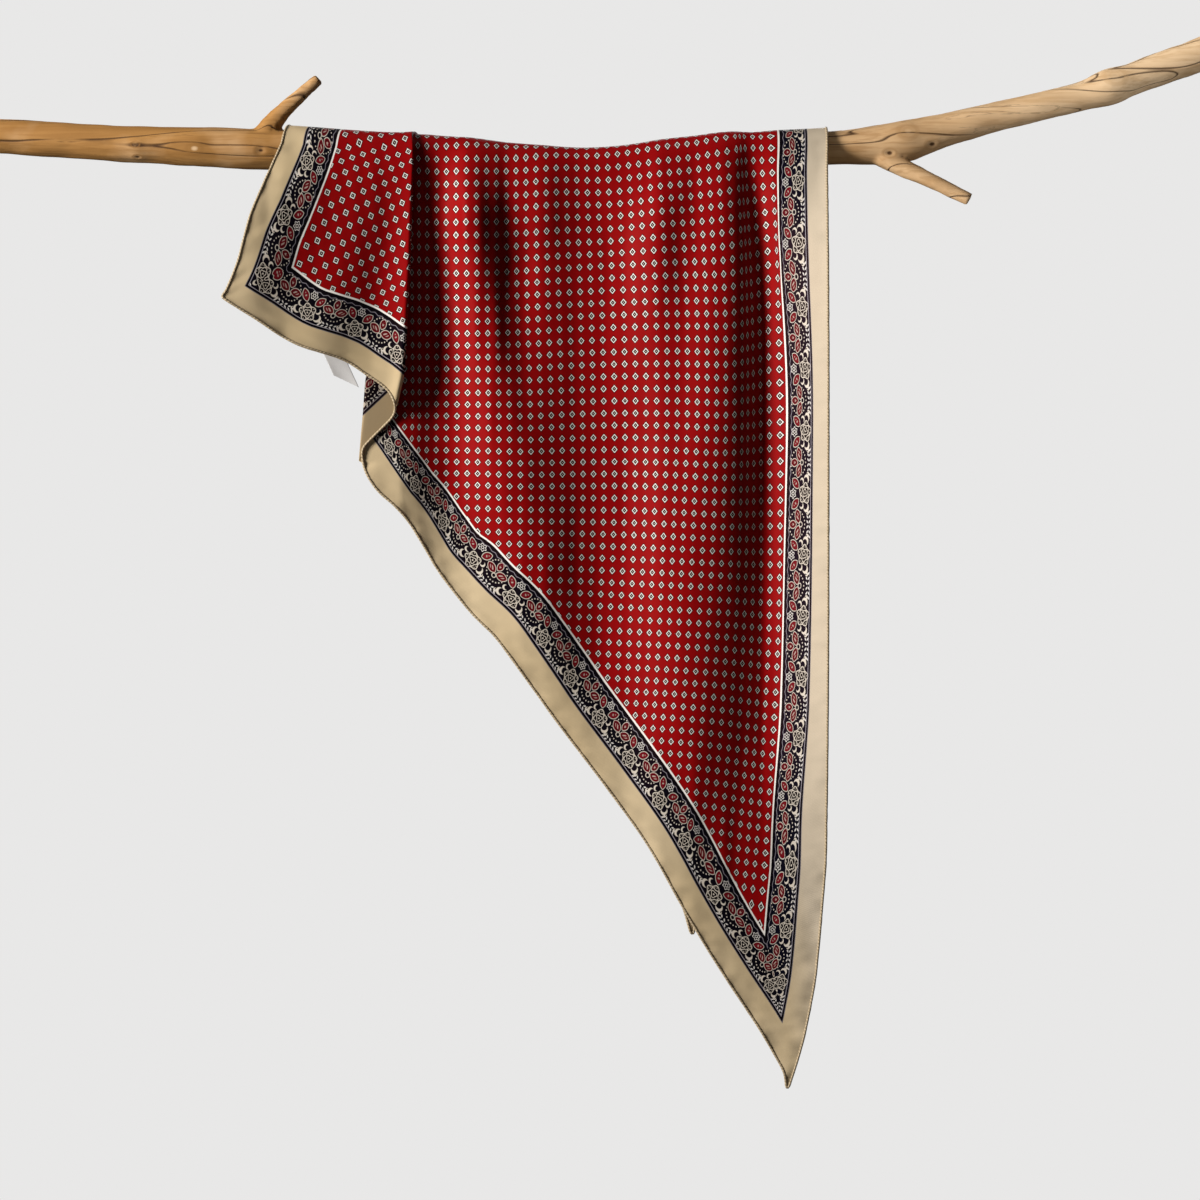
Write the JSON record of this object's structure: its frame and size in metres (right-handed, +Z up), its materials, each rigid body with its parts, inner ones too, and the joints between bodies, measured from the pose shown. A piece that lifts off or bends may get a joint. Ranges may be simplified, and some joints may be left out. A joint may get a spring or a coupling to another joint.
{
  "type": "triangle scarf draped over a wooden branch",
  "caption": "Triangle scarf of printed silk satin with a floral border, hung over a driftwood branch, one corner turned out as a flap.",
  "frame": {"origin": "on the branch's axis, under the middle of the cloth, where the branch is held", "axes": "+X along the branch towards its forked, rising end, +Z up, front of the scarf towards -Y"},
  "size_m": [0.967, 0.0873, 0.8333],
  "materials": {
    "driftwood": "weathered, matte, with a long grain and small cracks",
    "red_satin": "silk satin, printed, soft sheen",
    "satin_underside": "underside of the printed satin, darker and less glossy",
    "beige_hem": "satin, rolled and sewn by hand",
    "label_tape": "white satin tape, bare"
  },
  "bodies": {
    "root": {"branch": "driftwood", "front_panel": "red_satin", "corner_flap": "red_satin", "turned_underside": "satin_underside", "back_panel": "red_satin", "hem_front_long_edge": "beige_hem", "hem_front_leg": "beige_hem", "hem_underside": "beige_hem", "hem_flap_side": "beige_hem", "hem_flap_lower": "beige_hem", "hem_back_long_edge": "beige_hem", "hem_back_leg": "beige_hem", "care_label": "label_tape"}
  },
  "joints": []
}
